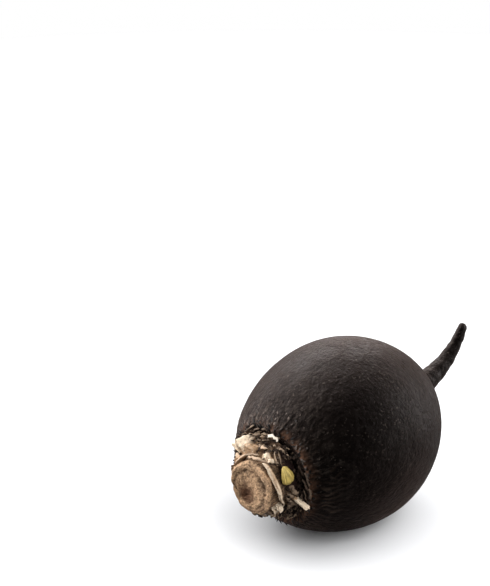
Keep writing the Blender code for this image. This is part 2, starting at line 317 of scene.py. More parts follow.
def full_turn(count):
    """Even angles all the way round, as a row."""
    return np.linspace(0, 2 * math.pi, count, endpoint=False)[None, :]


def unit(vectors):
    """Each vector brought to length 1."""
    return vectors / np.linalg.norm(vectors, axis=-1, keepdims=True)


def travelled(first, second):
    """Length of the way so far at each point of a polyline, from its two coordinates."""
    return np.concatenate([[0], np.cumsum(np.hypot(np.diff(first), np.diff(second)))])


def smoothed(values):
    """Each value averaged with its two neighbours on either side, weighted 1, 2, 3, 2, 1; the ends stay."""
    middle = np.convolve(values, np.array([1, 2, 3, 2, 1]) / 9, mode="valid")
    return np.concatenate([values[:2], middle, values[-2:]])


def patches(angle, along, cells, seed):
    """Noise from -1 to 1: random values on a lattice, `cells` round the object by one per unit of `along`.

    Between the lattice's corners the values blend by a smoothstep, and round the object they close on
    themselves.
    """
    across, along = np.broadcast_arrays(np.mod(angle / (2 * math.pi), 1) * cells, along)
    column = np.minimum(np.floor(across).astype(int), cells - 1)
    row = np.floor(along).astype(int)
    lattice = np.random.default_rng(seed).uniform(-1, 1, (cells, 256))
    u, v = across - column, along - row
    u, v = u * u * (3 - 2 * u), v * v * (3 - 2 * v)
    following = (column + 1) % cells
    here = lattice[column, row % 256] * (1 - u) + lattice[following, row % 256] * u
    further = lattice[column, (row + 1) % 256] * (1 - u) + lattice[following, (row + 1) % 256] * u
    return here * (1 - v) + further * v


def tube(line, side, up, around):
    """Ovals round the points of a line: point + cos(turn) * side + sin(turn) * up."""
    turn = full_turn(around)[..., None]
    return line[..., None, :] + side[..., None, :] * np.cos(turn) + up[..., None, :] * np.sin(turn)


# Shapes of the root


def centreline(root, along):
    """Middle line: its slope is the lean, plus the tail's turn times a power of the share of the tail passed.

    Gives its X, its Z and its slope.
    """
    end = root.tail_start + root.tail_length
    fine = np.linspace(-60 * MM, end, 3000)
    slope = root.lean + root.tail_turn * ramp(fine, root.tail_start, end) ** TURN_POWER
    step = fine[1] - fine[0]
    x, z = np.cumsum(np.cos(slope)) * step, np.cumsum(np.sin(slope)) * step
    x += root.centre_ahead - np.interp(0, fine, x)
    z += root.centre_height - np.interp(0, fine, z)
    return tuple(np.interp(along, fine, values) for values in (x, z, slope))


def place(root, along, radius, angle):
    """Point = middle line + radius * (cos angle * the line's upward normal + sin angle * (-Y))."""
    x, z, slope = centreline(root, along)
    up = radius * np.cos(angle)
    point = x - up * np.sin(slope), -radius * np.sin(angle), z + up * np.cos(slope)
    return np.stack(np.broadcast_arrays(*point), axis=-1)


def globe_radius(root, along):
    """Radius = widest radius * (1 - (length / reach)^2)^(point / 2), with each end's reach and point."""
    reach = np.where(along < 0, root.shoulder_reach, root.taper_reach)
    point = np.where(along < 0, root.shoulder_point, root.taper_point)
    return root.globe_radius * np.clip(1 - (along / reach) ** 2, 0, 1) ** (point / 2)


def tail_radius(root, along):
    """Radius falls almost evenly from base to tip, and the last stretch is a half ellipse."""
    end = root.tail_start + root.tail_length
    left = ramp(along, end, root.taper_reach)
    radius = root.tail_tip + (root.tail_thick - root.tail_tip) * left**TAPER_POWER
    past = ramp(along, end - root.tail_tip, end)
    return radius * np.sqrt(1 - past**2)


def root_radius(root, along):
    """Cube root of the sum of the cubes of the globe's and the tail's radii."""
    tail = np.where(along > 0, tail_radius(root, along), 0)
    return (globe_radius(root, along) ** ROOT_BLEND + tail**ROOT_BLEND) ** (1 / ROOT_BLEND)


def skin_outline(root):
    """Outline of the skin as arrays: arc length from the rim's crest, length along the axis, and radius.

    It crosses the flat seat, goes round the rim by an arc, and then follows the globe and the tail.
    """
    step = 0.01 * MM
    start = globe_radius(root, np.array([RIM_START, RIM_START + step]))
    outside = math.atan((start[1] - start[0]) / step)
    turn = np.linspace(RIM_INSIDE, outside, 80)
    rim_along = RIM_START + RIM_ROUND * (math.sin(outside) - np.sin(turn))
    rim_radius = start[0] + RIM_ROUND * (np.cos(turn) - math.cos(outside))
    end = root.tail_start + root.tail_length
    tip = end - root.tail_tip * (1 - np.sin(np.linspace(0, math.pi / 2, 60))[1:])
    body = np.concatenate([np.linspace(RIM_START, end - root.tail_tip, 2500)[1:], tip])
    seat = np.linspace(0, SEAT_RADIUS, 60)
    along = np.concatenate([np.full(seat.shape, SEAT), rim_along, body])
    radius = np.concatenate([seat, rim_radius, root_radius(root, body)])
    arc = travelled(along, radius)
    return arc - arc[np.argmin(along)], along, radius


def skin_wrinkles(arc, angle):
    """Meridian wrinkles, from 0 to 1: crests of cos(count * angle + a noise), broken up by a second noise.

    They fade away from the rim, and are deepest on the side that the bud is on.
    """
    phase = WRINKLES * angle + 4.5 * patches(angle, arc / (3.4 * MM), 23, 3)
    broken = np.clip(0.7 + 0.7 * patches(angle, arc / (3.6 * MM), 41, 5), 0, 1)
    side = 0.3 + 0.7 * facing(angle, WRINKLED, 4)
    fade = ramp(arc, 0, 1.5 * MM) * bell(arc, 12.5 * MM)
    return (0.5 + 0.5 * np.cos(phase)) ** 1.4 * broken * side * fade


def skin_relief(root, arc, along, angle):
    """Height of the skin over its smooth outline.

    It sums the slow swellings, meridian wrinkles that fade away from the rim, furrows, fine pebbles, and
    rings on the tail.
    """
    swell = np.clip(1 - (along / root.tail_start) ** 2, 0, 1)
    lumps = swell * (np.sin(2 * angle + 0.9 + 40 * along) + 0.6 * np.sin(3 * angle - 1.2 + 25 * along))
    outside = ramp(arc, 0, 1.5 * MM)
    near, far = outside * bell(arc, 15 * MM), outside * bell(arc, 34 * MM)
    wrinkles = 1.5 * skin_wrinkles(arc, angle) + 0.35 * near * patches(angle, arc / (1.3 * MM), 170, 12)
    sway = angle + 0.05 * patches(angle, arc / (9 * MM), 16, 3)
    furrows = far * patches(sway, arc / (13 * MM), 27, 7)
    pebbles = outside * patches(angle, arc / (2.1 * MM), 120, 11) * np.clip(1.3 - arc / (105 * MM), 0, 1)
    rings = patches(angle, arc / (1.7 * MM), 5, 13) + 0.8 * patches(angle, arc / (11 * MM), 9, 17)
    rings = rings * ramp(along, root.tail_start, root.tail_start + 8 * MM)
    fine = wrinkles + 0.7 * furrows + 0.22 * pebbles + 0.7 * rings
    return root.lump_depth * lumps + root.wrinkle_depth * fine


def on_skin(root, arc, angle):
    """Point of the finished skin at an arc length from the rim's crest and an angle.

    The relief stands square to the outline. The rim is waved along the axis, and chipped at its crest.
    """
    arcs, *lines = skin_outline(root)
    along, radius = (np.interp(arc, arcs, line) for line in lines)
    slope_along, slope_radius = (np.interp(arc, arcs, np.gradient(line, arcs)) for line in lines)
    height = skin_relief(root, arc, along, angle)
    fade = ramp(along, -30 * MM, RIM_START) ** 2 * (arc > -4 * MM)
    wave = RIM_WAVE * fade * (np.sin(3 * angle + 2.2) + 0.5 * np.sin(7 * angle + 0.5))
    chips = CHIP_DEPTH * bell(arc, 1.4 * MM) * (0.5 + patches(angle, 0.5, 34, 19))
    points = place(root, along - wave - height * slope_radius - chips, radius + height * slope_along, angle)
    points[..., 2] = np.maximum(points[..., 2], 0)
    return points


def skin_rows(root, count):
    """Arc lengths of the skin's rings, closer together near the rim."""
    arcs = skin_outline(root)[0]
    fine = np.linspace(arcs[0], arcs[-1], 4000)
    gaps = {-12: 2.5, -3: 0.5, 0: 0.3, 26: 0.42, 50: 0.7, 110: 0.75, 160: 0.62}
    gap = np.interp(fine, np.array(list(gaps)) * MM, list(gaps.values()))
    share = np.cumsum(1 / gap)
    return np.interp(np.linspace(share[0], share[-1], count), share, fine)


def skin_frames(root, arc, angle):
    """Point, direction away from the crown, and outward normal of the skin at each place."""
    step, turn = 0.3 * MM, 0.02
    here = on_skin(root, arc, angle)
    away = unit(on_skin(root, arc + step, angle) - on_skin(root, arc - step, angle))
    across = on_skin(root, arc, angle + turn) - on_skin(root, arc, angle - turn)
    normal = unit(np.cross(across, away))
    middle = place(root, np.interp(arc, *skin_outline(root)[:2]), 0, 0)
    outward = np.sign(np.einsum("ij,ij->i", normal, here - middle))
    return here, away, normal * outward[:, None]


def blades(base, ahead, normal, length, width, thick, curl):
    """Pointed blades, as grids (blades, rings, round, 3).

    Each starts at its base and bends from `ahead` toward `normal` by `curl` over its length. Its width is
    that of a leaf, widest a third of the way out, and its section is a flat oval.
    """
    share = np.linspace(0.0, 1.0, FLECK_RINGS)[None, :, None]
    length, width, thick, curl = (np.reshape(v, (-1, 1, 1)) for v in (length, width, thick, curl))
    ahead, normal = ahead[:, None], normal[:, None]
    bend = np.where(np.abs(curl) < 1e-3, 1e-3, curl)
    sine, cosine = np.sin(bend * share), np.cos(bend * share)
    line = base[:, None] + length / bend * (sine * ahead + (1 - cosine) * normal)
    spread = 0.5 * width * (0.35 + 0.65 * np.sin(math.pi * (0.12 + 0.85 * share) ** 0.75))
    deep = 0.5 * thick * (1 - 0.6 * share)
    return tube(line, spread * np.cross(ahead, normal), deep * (cosine * normal - sine * ahead), FLECK_ROUND)


# Shapes of the crown


def resampled(outline, rows):
    """Points along a polyline (millimetres) at even steps, smoothed to round the corners."""
    outline = np.array(outline).T * MM
    way = travelled(*outline)
    even = np.linspace(0, way[-1], rows)
    return tuple(smoothed(np.interp(even, way, values))[:, None] for values in outline)


def crown_point(root, crown, along, radius, angle):
    """Point of the crown: uneven all round, drawn in at the bud, sagging and sheared toward the cut."""
    cut = ramp(along, *CUT_BLEND)
    slant = cut * radius * np.cos(angle - CUT_FACES)
    wide = ramp(radius, 12 * MM, 18 * MM)
    uneven = 0.015 * np.sin(3 * angle + 0.4) + 0.015 * np.sin(5 * angle + 2)
    collar = wide * (COLLAR_SHIFT * np.cos(angle + 1) - BUD_NEST * facing(angle, BUD_ANGLE, 5))
    sag = BUTT_SAG * cut * (0.5 - 0.5 * np.cos(angle)) ** 3
    stretch = 1 + uneven + collar + sag
    return place(root, along + slant * math.tan(crown.cut_tilt), radius * stretch, angle)


def grown_place(angle, along, radius=20 * MM):
    """Coordinates that follow the growth: a ring of fixed radius round the axis, by the length along it."""
    angle, along = np.broadcast_arrays(angle, along)
    return np.stack([radius * np.cos(angle), radius * np.sin(angle), along], axis=-1)


def neck_grid(root, crown):
    """Side and cut face of the crown in one grid, with its fields.

    The side is the crown's outline turned round the axis, with fibres and scars. On the cut face the rings
    are blended from the edge to a middle that lies off the axis. How far it is down sums a groove inside the
    edge, a hollow pith, growth rings and value noise. `foot` is high at the side's foot and in a strip beside
    the ridge, where the neck gets painted shade. The field of painted light is a painted highlight, a
    crescent on one side of the pith, less a painted shade at the edge on the other side.
    """
    angle = full_turn(NECK_ROUND)
    along, radius = resampled([(CROWN_FOOT, 16.0), *CROWN_SIDE, *CUT_EDGE], NECK_RINGS)
    foot = ramp(along, -48 * MM, -44.5 * MM)
    fibres = patches(angle, along / (6 * MM), 84, 23) + 0.8 * patches(angle, along / (3 * MM), 37, 29)
    scars = patches(angle, along / (0.9 * MM), 15, 31) + 0.7 * patches(angle, along / (1.6 * MM), 33, 33)
    rough = (0.18 + 0.2 * foot) * MM * fibres + (0.22 + 0.35 * foot) * MM * scars
    inside = ramp(along, CROWN_FOOT * MM, (CROWN_FOOT - 0.8) * MM)
    edge = ramp(along, -54.6 * MM, -56.1 * MM)
    ragged = edge * MM * (0.45 * patches(angle, 0.5, 31, 37) + 0.3 * patches(angle, 0.5, 11, 38))
    side = crown_point(root, crown, along - ragged, radius + inside * (rough - SHRUNK), angle)

    end, rim = along[-1, 0], side[-1:]
    share = np.linspace(1, 0.02, FACE_RINGS)[:, None]
    middle = rim.mean(axis=1) + place(root, end, PITH_OFF, PITH_TOWARD) - place(root, end, 0, 0)
    face = middle + share[..., None] * (rim - middle)
    wander = share + 0.05 * patches(angle, share * 3, 7, 41) + 0.02 * patches(angle, share * 8, 19, 42)
    groove = 0.6 * (0.55 + 0.45 * np.cos(angle - 0.3)) * bell(wander - 0.80, 0.045)
    hollow = 0.6 / (1 + np.exp((wander - 0.34) / 0.07)) + 0.2 / (1 + np.exp((wander - 0.9) / 0.02))
    waves = 0.15 * np.cos(wander * RINGS_SEEN * 2 * math.pi) * patches(angle, share * 2, 5, 44)
    mottles = 0.25 * patches(angle, share * 9, 46, 43) + 0.2 * patches(angle, share * 22, 90, 47)
    swell = 0.6 * patches(angle, share * 2.5, 5, 48)
    down = (hollow + ramp(share, 1, 0.9) * (groove - waves - mottles - swell)) * MM
    axis = np.array([math.cos(root.lean), 0, math.sin(root.lean)])
    points = np.concatenate([side, (face + down[..., None] * axis)[1:]])

    # A painted highlight: a crescent on one side of the pith, less a painted shade at the edge on the other
    # side.
    glow = bell(wander - 0.56, 0.16) * (0.5 + 0.5 * np.cos(angle - HIGHLIGHT_TOWARD)) ** 1.5
    glow = glow - bell(wander - 1, 0.16) * (0.5 - 0.5 * np.cos(angle + 0.2)) ** 3
    # A strip beside the ridge, where the neck gets painted shade.
    beside = ramp(along, -53.5 * MM, -50.5 * MM) * facing(angle, BESIDE_RIDGE, 7)

    def joined(on_side, on_face):
        """A field over the whole grid: its values on the side, and then on the face inside the edge."""
        on_face = np.broadcast_to(on_face, face.shape[:2])[1:]
        return np.concatenate([np.broadcast_to(on_side, side.shape[:2]), on_face])

    fields = {
        "cut": joined(ramp(edge, 0.6, 1), 1),
        "ring": joined(1, wander),
        "foot": joined(np.maximum(foot, beside), 0),
        "height": joined(rough / (0.8 * MM), -down / MM),
        "glow": joined(0, glow),
        "shade": facing(angle, GROOVE, 3),
        "grown": grown_place(angle, joined(along, end)),
    }
    return points, fields


def stump_grid(root, number):
    """One leaf stump as a grid, with its fields.

    A flat, squarish oval with ribs is bent round the crown and carried along a quadratic curve that leaves
    the crown and turns outward. It is waved across its width by a sine, and the far edge may stand further
    out, by its squared share of the width. The cut end is drawn in to its middle, a little dished, and its
    edge is torn.
    """
    width, thick, foot, foot_radius, end, end_radius, aside, cut_slope, out, back, pale, bare = STALKS[number]
    start, finish = np.array([foot, foot_radius]) * MM, np.array([end, end_radius]) * MM
    knee = start + (finish - start) * (0.25, 0.65)
    turn = full_turn(STUMP_ROUND)
    q = np.concatenate([np.linspace(0, 1, STUMP_RINGS), np.ones(END_RINGS)])[:, None]
    closing = np.cos(np.linspace(0, math.pi / 2, END_RINGS + 2))[1:-1]
    size = np.concatenate([np.ones(STUMP_RINGS), closing])[:, None] * (1 - 0.08 * ramp(q, 0.8, 1) ** 2)
    p = q[..., None]
    line = (1 - p) ** 2 * start + 2 * p * (1 - p) * knee + p**2 * finish
    heading = unit((1 - p) * (knee - start) + p * (finish - knee))

    ribs = 1 + 0.08 * np.cos(turn * round(width * 0.9)) + 0.42 * patches(turn, q * 5, 13, 60 + number)
    edges = 1 + 0.16 * patches(turn, q * 4, 7, 70 + number) + 0.07 * patches(turn, q * 9, 17, 75 + number)
    across = 0.5 * width * MM * (1.12 - 0.2 * q) * np.cos(turn) * size * edges
    through = 0.5 * thick * MM * np.sign(np.sin(turn)) * np.abs(np.sin(turn)) ** 0.7 * size * ribs
    wave = 0.3 * thick * MM * q * np.sin(6 * np.cos(turn) * size + number)
    torn = 0.8 * MM * patches(turn, 0.5, 14, 80 + number) * q**6 * size
    dish = 0.3 * MM * (1 - size) * (1 - 2.5 * patches(turn, size * 4, 9, 90 + number))
    far = np.clip(np.cos(turn) * size, 0, 1) ** 2 * q**2 * MM
    ahead = across * cut_slope * q + torn - dish
    along = line[..., 0] + through * heading[..., 1] + ahead * heading[..., 0] + far * back
    radius = line[..., 1] - through * heading[..., 0] + ahead * heading[..., 1] + far * out + wave
    middle = FIRST_STALK + number * GOLDEN_ANGLE + math.radians(aside)
    fields = {
        "cut": ramp(q, 1 - bare, 1 - 0.6 * bare),
        "tone": pale * (1 + 0.4 * patches(turn, q * 7, 13, 95 + number)),
        "grown": np.stack(np.broadcast_arrays(across, through, q * 9 * MM), axis=-1),
    }
    return place(root, along, radius, middle + across / (end_radius * MM)), fields


def shred_grids(start, finish, outward, width, thick, arch, draw):
    """Dry shreds, as grids (shreds, rings, round, 3).

    Each runs from its start to its finish and arches outward by 4 * arch * share * (1 - share). Its section
    is a flat oval that tapers at both ends and is torn at random along its length.
    """
    share = 0.5 - 0.5 * np.cos(np.linspace(0.06, 0.94, SHRED_RINGS) * math.pi)[None, :, None]
    width, thick, arch = (np.reshape(v, (-1, 1, 1)) for v in (width, thick, arch))
    forth = finish - start
    side = unit(np.cross(forth, outward))
    upward = unit(np.cross(side, forth))[:, None]
    forth, side = forth[:, None], side[:, None]
    taper = np.sin(math.pi * share) ** 0.4
    torn = draw.uniform(0.4, 1.4, (len(start), SHRED_RINGS, 1))
    shift = draw.normal(0, 0.14, (len(start), SHRED_RINGS, 1)) * width
    line = start[:, None] + share * forth + 4 * share * (1 - share) * arch * upward + shift * side
    return tube(line, 0.5 * width * taper * torn * side, 0.5 * thick * taper * upward, SHRED_ROUND)


def bud_grid(root):
    """The bud: an egg from its foot to its pointed tip, its oval section carried along a slightly bowed line.

    Seven folds wind round it.
    """
    foot, tip = (place(root, s * MM, r * MM, math.radians(a)) for s, r, a in (BUD_FOOT, BUD_TIP))
    share = 0.5 - 0.5 * np.cos(np.linspace(0.02, 1, BUD_RINGS) * math.pi)
    size = smoothed(np.interp(share, *np.array(BUD_SHAPE).T))[:, None]
    share, turn = share[:, None], full_turn(BUD_ROUND)
    forth = tip - foot
    side = unit(np.cross(forth, 0.5 * (foot + tip) - place(root, BUD_FOOT[0] * MM, 0, 0)))
    outward = unit(np.cross(side, forth))
    size = size * (1 + 0.05 * np.cos(7 * turn + 5 * share) + 0.05 * patches(turn, share * 7, 11, 51))
    across = BUD_HALF_WIDTH * size * np.cos(turn)
    out = BUD_BOW * 4 * share * (1 - share) + BUD_HALF_THICK * size * np.sin(turn)
    points = foot + share[..., None] * forth + across[..., None] * side + out[..., None] * outward
    return points, {"size": share, "grown": grown_place(turn, share * 9 * MM, 3 * MM)}


# Meshes from arrays


def add_mesh(name, points, finish, fields=None):
    """One object from grids of points, shaped (grids, rings, round, 3), or (rings, round, 3) for one grid.

    Quad (i, j) joins ring i to ring i + 1, and closes round. Each end is drawn in to its ring's mean.
    `fields` are named values for each point, and the middle of each end takes its ring's mean.
    """
    fields = fields or {}
    if points.ndim == 3:
        points, fields = points[None], {label: values[None] for label, values in fields.items()}
    grids, rings, around = points.shape[:3]

    def with_ends(values):
        """Values of each grid's points, and then the means of its first and its last ring."""
        ends = np.stack([values[:, 0].mean(axis=1), values[:, -1].mean(axis=1)], axis=1)
        return np.concatenate([values.reshape(grids, rings * around, *values.shape[3:]), ends], axis=1)

    block = rings * around + 2
    ring = np.arange(rings * around).reshape(rings, around)
    following = np.roll(ring, -1, axis=1)
    quads = np.stack([ring[:-1], following[:-1], following[1:], ring[1:]], axis=-1).reshape(-1, 4)
    first = np.stack([np.full(around, block - 2), following[0], ring[0]], axis=-1)
    last = np.stack([np.full(around, block - 1), ring[-1], following[-1]], axis=-1)
    triangles = np.concatenate([first, last])
    vertices = with_ends(points)
    corners = vertices[0][np.concatenate([quads[:, :3], quads[:, [0, 2, 3]], triangles])]
    if np.einsum("ij,ij->", corners[:, 0], np.cross(corners[:, 1], corners[:, 2])) < 0:
        quads, triangles = quads[:, ::-1], triangles[:, ::-1]
    shift = (np.arange(grids) * block)[:, None, None]
    faces = (quads + shift).reshape(-1, 4).tolist() + (triangles + shift).reshape(-1, 3).tolist()
    mesh = bpy.data.meshes.new(name)
    mesh.from_pydata(vertices.reshape(-1, 3).tolist(), [], faces)
    for label, values in fields.items():
        whole = with_ends(np.broadcast_to(values, points.shape[:3] + values.shape[3:])).astype(np.float32)
        kind, key = ("FLOAT_VECTOR", "vector") if whole.ndim == 3 else ("FLOAT", "value")
        mesh.attributes.new(label, kind, "POINT").data.foreach_set(key, whole.ravel())
    mesh.shade_smooth()
    mesh.update()
    mesh.materials.append(finish)
    made = bpy.data.objects.new(name, mesh)
    bpy.context.scene.collection.objects.link(made)
    return made


def lit_group(name):
    """Collection of the objects that some of the lights are kept to."""
    return bpy.data.collections.get(name) or bpy.data.collections.new(name)


def part_of(piece, node):
    """Sets a piece on the root's body, hides the imported part that it stands for, and adds it to the groups
    that the lights are kept to.
    """
    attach(piece, "root")
    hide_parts(node)
    lit_group("radish").objects.link(piece)
    lit_group("skin" if node == "root" else "crown").objects.link(piece)


# Shader nodes


def node(tree, kind, values=None, **settings):
    """Adds a node, sets its properties, and fills its inputs with values or with links from sockets."""
    made = tree.nodes.new(kind)
    for name, value in settings.items():
        setattr(made, name, value)
    for name, value in (values or {}).items():
        if isinstance(value, bpy.types.NodeSocket):
            tree.links.new(value, made.inputs[name])
        else:
            made.inputs[name].default_value = value
    return made


def mix(tree, share, first, second):
    """Colour between two colours, each a socket or (r, g, b)."""
    first, second = (v if isinstance(v, bpy.types.NodeSocket) else (*v, 1) for v in (first, second))
    return node(tree, "ShaderNodeMix", {0: share, 6: first, 7: second}, data_type="RGBA").outputs[2]


def scaled(colour, factor):
    """A colour times a factor, at most white."""
    return tuple(min(1.0, factor * c) for c in colour)


def math_node(tree, operation, first, second, clamp=False):
    """The result of one operation on two values."""
    made = node(tree, "ShaderNodeMath", {0: first, 1: second}, operation=operation, use_clamp=clamp)
    return made.outputs[0]


def times(tree, first, second):
    """Product of two values."""
    return math_node(tree, "MULTIPLY", first, second)


def plus(tree, total, *others):
    """Sum of the values."""
    for other in others:
        total = math_node(tree, "ADD", total, other)
    return total


def between(tree, value, low, high, to_low=0.0, to_high=1.0):
    """Maps a value's range low to high onto another range, clamped."""
    values = {"Value": value, "From Min": low, "From Max": high, "To Min": to_low, "To Max": to_high}
    return node(tree, "ShaderNodeMapRange", values, clamp=True).outputs[0]


def field(tree, name, output="Fac"):
    """A field of the mesh."""
    made = node(tree, "ShaderNodeAttribute", attribute_name=name, attribute_type="GEOMETRY")
    return made.outputs[output]


def object_place(tree):
    """Coordinates in the object, which are also those of the frame."""
    return tree.nodes.new("ShaderNodeTexCoord").outputs["Object"]


def noise(tree, vector, scale, detail, roughness=0.5, output="Fac"):
    """Soft noise, as a value or, from its output "Color", as a vector."""
    values = {"Vector": vector, "Scale": scale, "Detail": detail, "Roughness": roughness}
    return node(tree, "ShaderNodeTexNoise", values).outputs[output]


def new_group(name, inputs, outputs):
    """An empty node group with named sockets for numbers; returns its tree, its input and its output node."""
    tree = bpy.data.node_groups.new(name, "ShaderNodeTree")
    for label, default in inputs.items():
        socket = tree.interface.new_socket(label, in_out="INPUT", socket_type="NodeSocketFloat")
        socket.default_value = default
    for label in outputs:
        tree.interface.new_socket(label, in_out="OUTPUT", socket_type="NodeSocketFloat")
    return tree, tree.nodes.new("NodeGroupInput"), tree.nodes.new("NodeGroupOutput")


def grain_group():
    """Pebbled grain on Object coordinates: rounded cells, finer noise over them, and rare pale specks."""
    if "pebbled grain" in bpy.data.node_groups:
        return bpy.data.node_groups["pebbled grain"]
    inputs = {"Cell size": 0.0016, "Speck share": 0.3}
    tree, given, result = new_group("pebbled grain", inputs, ("Height", "Specks"))
    place_in = object_place(tree)
    scale = math_node(tree, "DIVIDE", 1.0, given.outputs["Cell size"])
    bent = noise(tree, place_in, 260.0, 2.0, output="Color")
    shift = node(tree, "ShaderNodeVectorMath", {0: bent, "Scale": 0.0012}, operation="SCALE").outputs[0]
    moved = node(tree, "ShaderNodeVectorMath", {0: place_in, 1: shift}, operation="ADD").outputs[0]
    cells = {"Vector": moved, "Scale": scale, "Smoothness": 0.6}
    cells = node(tree, "ShaderNodeTexVoronoi", cells, feature="SMOOTH_F1").outputs["Distance"]
    domes = math_node(tree, "SUBTRACT", 1.0, cells)
    fine = noise(tree, moved, times(tree, scale, 1.9), 5.0, 0.65)
    height = plus(tree, times(tree, domes, 0.55), times(tree, fine, 0.7))
    dots = noise(tree, moved, times(tree, scale, 1.25), 3.0)
    threshold = math_node(tree, "SUBTRACT", 0.72, times(tree, given.outputs["Speck share"], 0.3))
    specks = between(tree, math_node(tree, "SUBTRACT", dots, threshold), 0.0, 0.07)
    tree.links.new(height, result.inputs["Height"])
    tree.links.new(specks, result.inputs["Specks"])
    return tree


def streak_group():
    """Streaks along the growth: noise on the `grown` coordinates, narrow round the axis and long along it."""
    if "growth streaks" in bpy.data.node_groups:
        return bpy.data.node_groups["growth streaks"]
    inputs = {"Width": 0.0015, "Length": 0.006}
    tree, given, result = new_group("growth streaks", inputs, ("Streaks", "Broad"))
    thin, long = (math_node(tree, "DIVIDE", 1.0, given.outputs[name]) for name in ("Width", "Length"))
    stretch = node(tree, "ShaderNodeCombineXYZ", {0: thin, 1: thin, 2: long}).outputs[0]
    grown = field(tree, "grown", "Vector")
    moved = node(tree, "ShaderNodeVectorMath", {0: grown, 1: stretch}, operation="MULTIPLY").outputs[0]
    tree.links.new(noise(tree, moved, 1.0, 4.0, 0.6), result.inputs["Streaks"])
    tree.links.new(noise(tree, moved, 0.33, 2.0), result.inputs["Broad"])
    return tree


def grain(tree, cell_size, speck_share):
    """Places the pebbled grain in a material; gives its height and its specks."""
    values = {"Cell size": cell_size, "Speck share": speck_share}
    made = node(tree, "ShaderNodeGroup", values, node_tree=grain_group())
    return made.outputs["Height"], made.outputs["Specks"]


def streaks(tree, width, length):
    """Places the growth streaks in a material; gives the fine ones and the broad ones."""
    made = node(tree, "ShaderNodeGroup", {"Width": width, "Length": length}, node_tree=streak_group())
    return made.outputs["Streaks"], made.outputs["Broad"]


def new_material(name, constants):
    """A material with its tree and its Principled BSDF, whose constant inputs are given."""
    made = bpy.data.materials.new(name)
    made.use_nodes = True
    shader = made.node_tree.nodes["Principled BSDF"]
    for label, value in constants.items():
        shader.inputs[label].default_value = value
    return made, made.node_tree, shader


def finish_shader(tree, shader, colour, height, depth):
    """Gives the shader its colour, and a bump of the height times the depth."""
    tree.links.new(colour, shader.inputs["Base Color"])
    bump = node(tree, "ShaderNodeBump", {"Height": height, "Distance": depth, "Strength": 1.0})
    tree.links.new(bump.outputs["Normal"], shader.inputs["Normal"])


def skin_material(root):
    """Black skin, pebbled and dull, with a red-brown edge at the rim.

    It is brown in clouds, dusty and flecked along the growth near the crown, and paler on the wrinkles'
    crests. A broad noise of dents makes the sheen uneven, by roughness and by height, and gathers the specks.
    """
    constants = {
        "Specular IOR Level": 0.064,
        "Specular Tint": (1.0, 0.78, 0.705, 1),
        "Sheen Weight": 0.12,
        "Sheen Roughness": 0.5,
        "Sheen Tint": (1.0, 0.68, 0.58, 1),
    }
    material, tree, shader = new_material("black_skin", constants)
    pebbles, specks = grain(tree, 0.0017, 0.37)
    fine, dots = grain(tree, 0.0007, 0.14)
    fibres, broad_fibres = streaks(tree, 0.0011, 0.0048)
    near, place_in = field(tree, "near_crown"), object_place(tree)
    clouds = noise(tree, place_in, 45.0, 5.0)
    broad = noise(tree, place_in, 260.0, 3.0, 0.6)
    dents = noise(tree, place_in, 100.0, 4.0)

    colour = mix(tree, between(tree, clouds, 0.48, 0.72), root.skin_colour, root.brown_colour)
    dust = times(tree, between(tree, broad, 0.52, 0.74), between(tree, near, 0.0, 0.6, 0.006, 0.20))
    colour = mix(tree, dust, colour, root.speck_colour)
    crest = between(tree, field(tree, "crest"), 0.12, 0.6)
    crest = times(tree, crest, between(tree, broad, 0.35, 0.6, 0.6, 1.0))
    colour = mix(tree, crest, colour, CREST_COLOUR)
    flecks = times(tree, between(tree, fibres, 0.55, 0.66), between(tree, near, 0.25, 0.95, 0.0, 0.32))
    clustered = between(tree, dents, 0.42, 0.60, 0.12, 0.50)
    specks = times(tree, specks, times(tree, clustered, 0.7))
    pale = math_node(tree, "MAXIMUM", specks, times(tree, dots, clustered))
    colour = mix(tree, math_node(tree, "MAXIMUM", flecks, pale), colour, root.speck_colour)
    edge = times(tree, field(tree, "rim"), between(tree, broad_fibres, 0.42, 0.6, 0.15, 0.9))
    colour = mix(tree, edge, colour, RIM_COLOUR)

    dull = between(tree, plus(tree, fine, broad, times(tree, dents, 2.2)), 1.75, 2.65, 0.26, 0.58)
    tree.links.new(plus(tree, dull, times(tree, near, 0.15)), shader.inputs["Roughness"])
    height = plus(tree, pebbles, times(tree, fine, 0.35), times(tree, broad, 0.9), times(tree, dents, 1.8))
    height = plus(tree, height, times(tree, fibres, between(tree, near, 0.0, 1.0, 0.0, 1.2)))
    finish_shader(tree, shader, colour, height, 0.00048)
    return material


